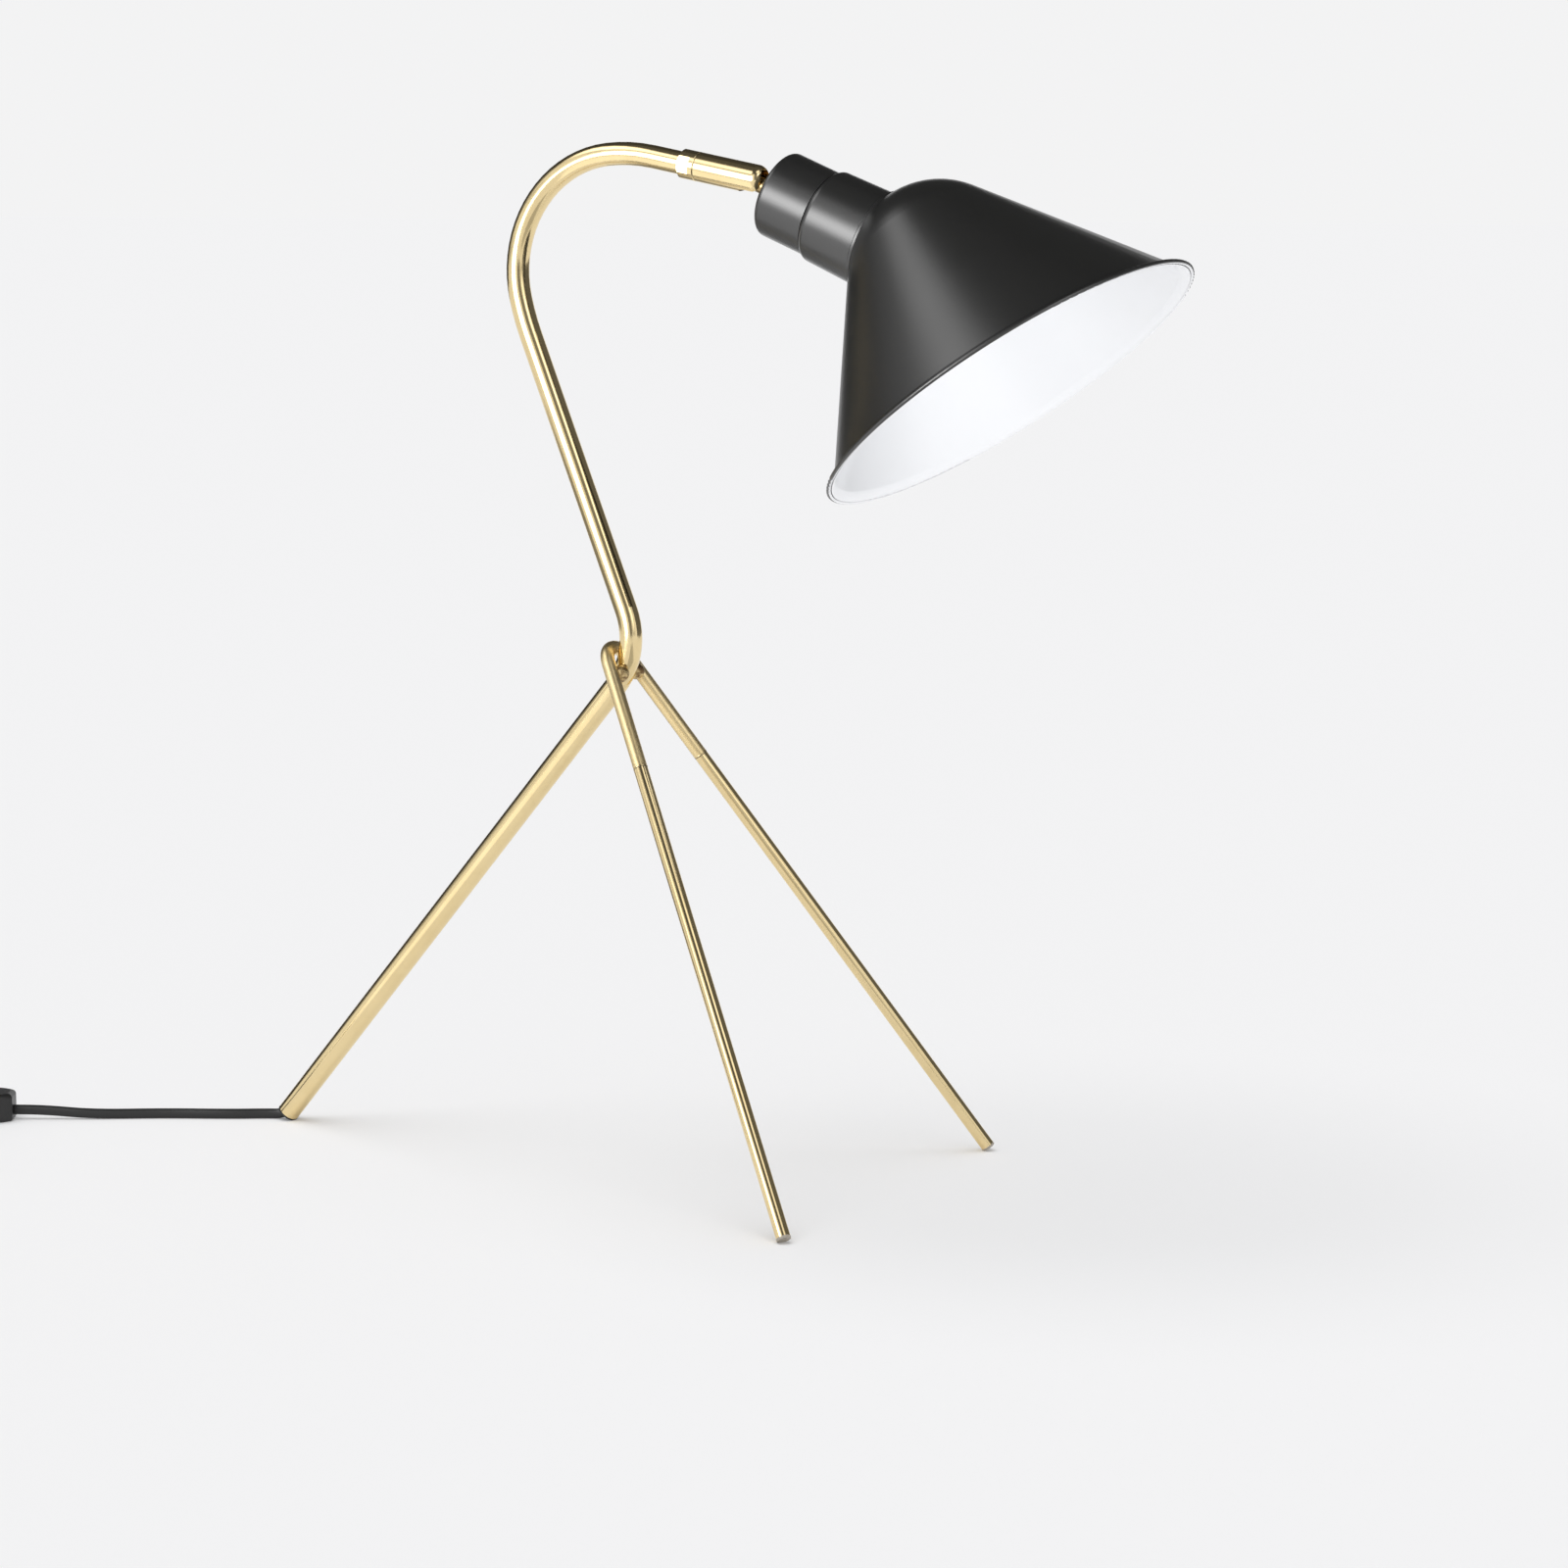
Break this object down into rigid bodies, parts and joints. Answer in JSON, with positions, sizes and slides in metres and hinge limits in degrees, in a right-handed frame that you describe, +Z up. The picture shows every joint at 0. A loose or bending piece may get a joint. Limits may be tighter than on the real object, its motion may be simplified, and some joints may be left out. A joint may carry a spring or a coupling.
{
  "type": "tripod table lamp",
  "caption": "Table lamp on a bent-tube tripod: a thick rear leg runs up into a gooseneck that carries a tilting cone shade, with a corded switch and plug.",
  "frame": {"origin": "on the floor, below the centre of the lamp's bounding box without its cord", "axes": "+X from the rear foot to the shade, +Z up, and the lamp is symmetric about the XZ plane"},
  "size_m": [0.7102, 0.3271, 0.5143],
  "materials": {
    "brass_finish": "satin",
    "black_paint": "satin",
    "shade_paint": "satin",
    "black_rubber": "satin",
    "clear_pad": "matte",
    "steel": "satin",
    "bright_brass": "polished",
    "seat_plastic": "matte",
    "holder_plastic": "matte",
    "ceramic": "gloss",
    "bulb_cap": "satin",
    "bulb_glass": "frosted",
    "flex_jacket": "satin",
    "cord_fittings": "satin"
  },
  "bodies": {
    "stand": {"main_tube": "brass_finish", "tube_grommet": "black_rubber", "tripod_yoke": "brass_finish", "yoke_braze": "brass_finish", "leg_studs": "steel", "front_leg_left": "brass_finish", "front_leg_right": "brass_finish", "leg_pad_left": "clear_pad", "leg_pad_right": "clear_pad", "tube_nipple": "bright_brass", "swivel_collar": "brass_finish", "spigot_clip": "steel", "tube_flex": "flex_jacket", "cord_lead": "flex_jacket", "cord_middle": "flex_jacket", "cord_coil": "flex_jacket", "cord_tail": "flex_jacket", "coil_tie": "cord_fittings", "switch_base": "cord_fittings", "switch_cover": "cord_fittings", "switch_contacts": "bright_brass", "switch_screws": "steel", "plug_body": "cord_fittings", "plug_blades": "bright_brass"},
    "swivel": {"swivel_body": "brass_finish", "swivel_bush": "bright_brass", "spring_stop": "steel", "disc_springs": "steel", "ball_seat": "seat_plastic", "swivel_flex": "flex_jacket"},
    "head": {"ball_stud": "bright_brass", "stud_flex": "flex_jacket", "cap_washer": "steel", "cap_nut": "steel", "socket_cap": "black_paint", "neck_sleeve": "black_paint", "shade": "shade_paint", "shade_ring": "holder_plastic", "lampholder_base": "holder_plastic", "lampholder_skirt": "holder_plastic", "contact_block": "ceramic", "screw_shell": "bright_brass", "centre_contact": "bright_brass", "terminal_screws": "steel", "terminal_leads": "bright_brass", "bulb_base": "bulb_cap", "bulb_glass": "bulb_glass"},
    "rocker": {"switch_rocker": "cord_fittings"}
  },
  "joints": [
    {"name": "swivel_spin", "type": "hinge", "parent": "stand", "child": "swivel", "pos_m": [-0.00645, 0, 0.50382], "axis": [0.9823, 0, -0.1874], "range_deg": [-170, 170]},
    {"name": "head_tilt", "type": "hinge", "parent": "swivel", "child": "head", "pos_m": [0.02754, 0, 0.49734], "axis": [0, 1, 0], "range_deg": [-20, 45]},
    {"name": "rocker_switch", "type": "hinge", "parent": "stand", "child": "rocker", "pos_m": [-0.40411, -0.08338, 0.0124], "axis": [0.4752, -0.8799, 0], "range_deg": [-18, 0]}
  ]
}
